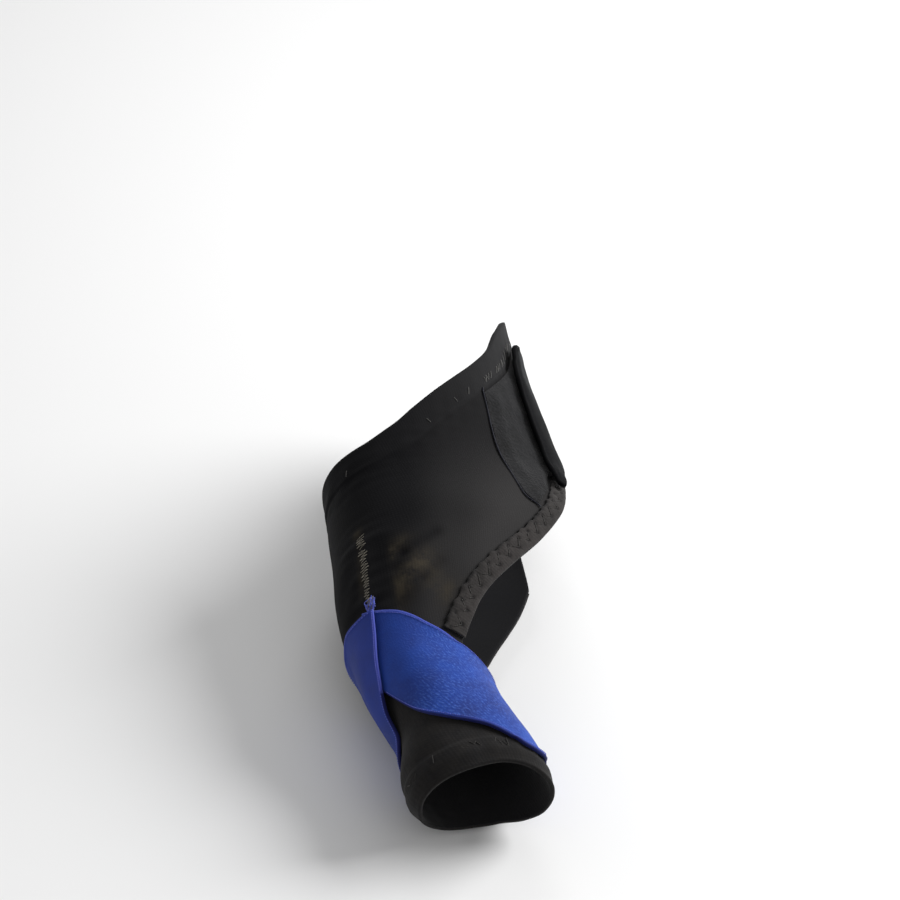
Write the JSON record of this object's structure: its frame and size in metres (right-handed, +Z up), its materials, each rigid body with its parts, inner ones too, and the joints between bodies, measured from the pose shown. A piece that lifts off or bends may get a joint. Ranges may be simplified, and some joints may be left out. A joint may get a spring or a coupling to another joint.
{
  "type": "bunion corrector",
  "caption": "Soft fabric brace for a left foot, in its worn form: an open-fronted midfoot wrap with a closing strap, a big toe sleeve and a crossed elastic strap round the toe's base.",
  "frame": {"origin": "the middle of the hollow that the midfoot fills, where the foot holds the corrector up", "axes": "-Y towards the toes, +Y towards the heel, -X towards the big toe's side, +X towards the little toe's side, +Z up from the sole"},
  "size_m": [0.0902, 0.1573, 0.0571],
  "materials": {
    "wrap_elastic": "matte black knitted elastic",
    "hem_binding": "matte dark grey turned binding",
    "loop_fleece": "brushed dark grey loop fabric",
    "strap_fabric": "matte black laminated fabric",
    "sleeve_elastic": "matte black knitted elastic",
    "blue_elastic": "satin blue twill elastic"
  },
  "bodies": {
    "root": {"midfoot_wrap": "wrap_elastic", "front_hem": "hem_binding", "sole_hem": "hem_binding", "loop_panel": "loop_fleece", "closure_strap": "strap_fabric", "toe_sleeve": "sleeve_elastic", "toe_strap_upper": "blue_elastic", "toe_strap_lower": "blue_elastic"}
  },
  "joints": []
}
